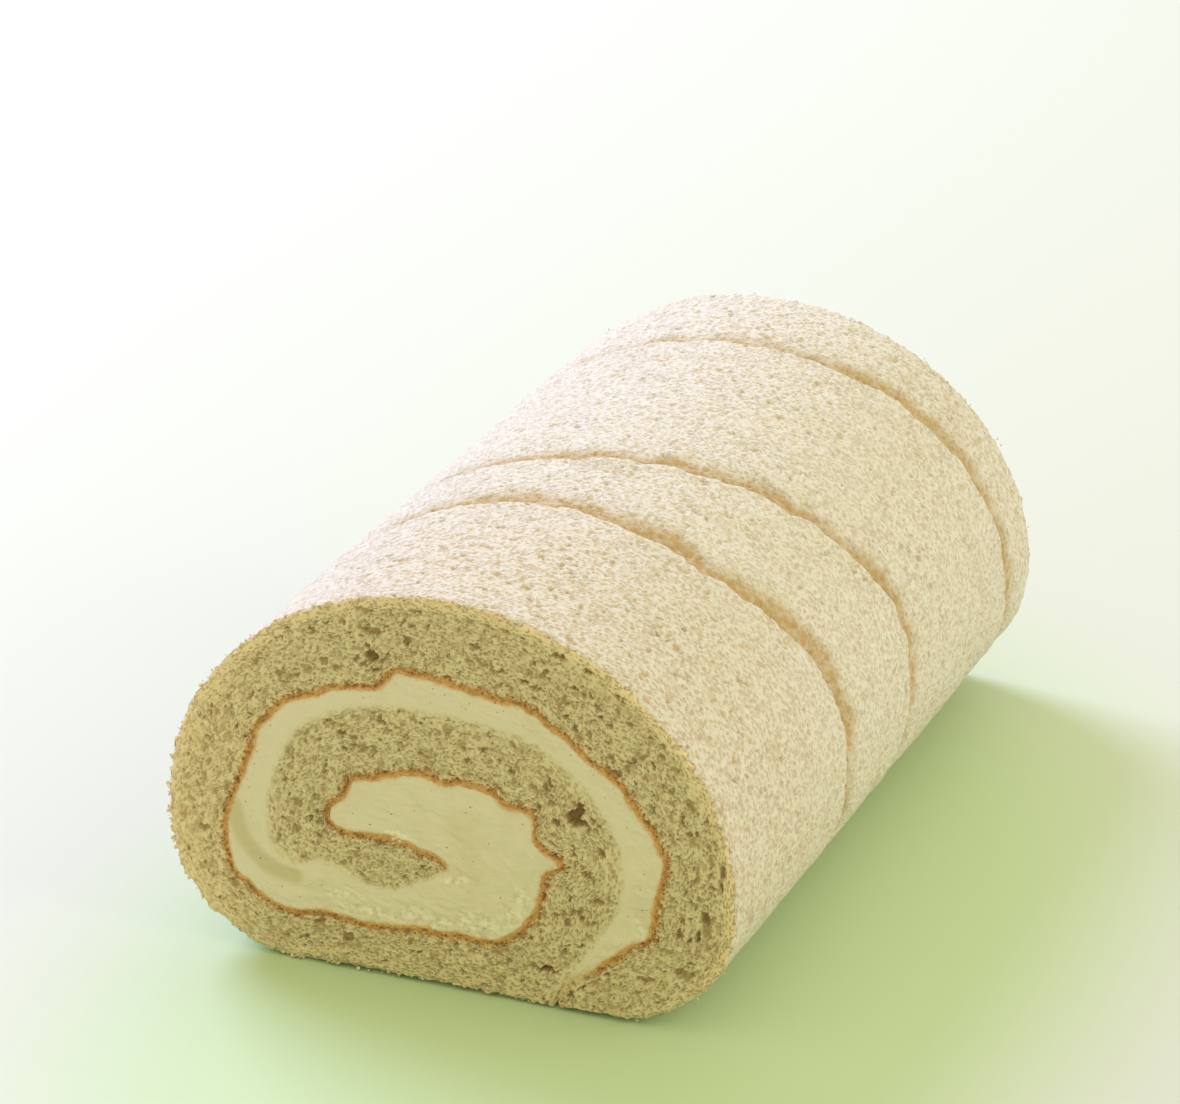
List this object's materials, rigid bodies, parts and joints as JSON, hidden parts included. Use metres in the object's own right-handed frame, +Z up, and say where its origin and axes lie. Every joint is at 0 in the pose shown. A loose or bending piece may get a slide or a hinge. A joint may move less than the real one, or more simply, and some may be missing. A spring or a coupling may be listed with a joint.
{
  "type": "swiss roll cake",
  "caption": "Swiss roll: a pale sponge sheet with a thin browned skin rolled round smooth vanilla cream, resting on a flat base, its two ends cut square.",
  "frame": {"origin": "centre of the flat base, on the surface that the roll rests on", "axes": "+Z up, +Y along the roll, away from the cut face that has the seam to the right of its middle, +X to the right seen from in front of that face"},
  "size_m": [0.1, 0.15, 0.0686],
  "materials": {
    "sponge": "open, dry cake crumb, fully matt, pale skin outside",
    "cream": "smooth set vanilla cream with a soft sheen"
  },
  "bodies": {
    "root": {"sponge": "sponge", "cream": "cream"}
  },
  "joints": []
}
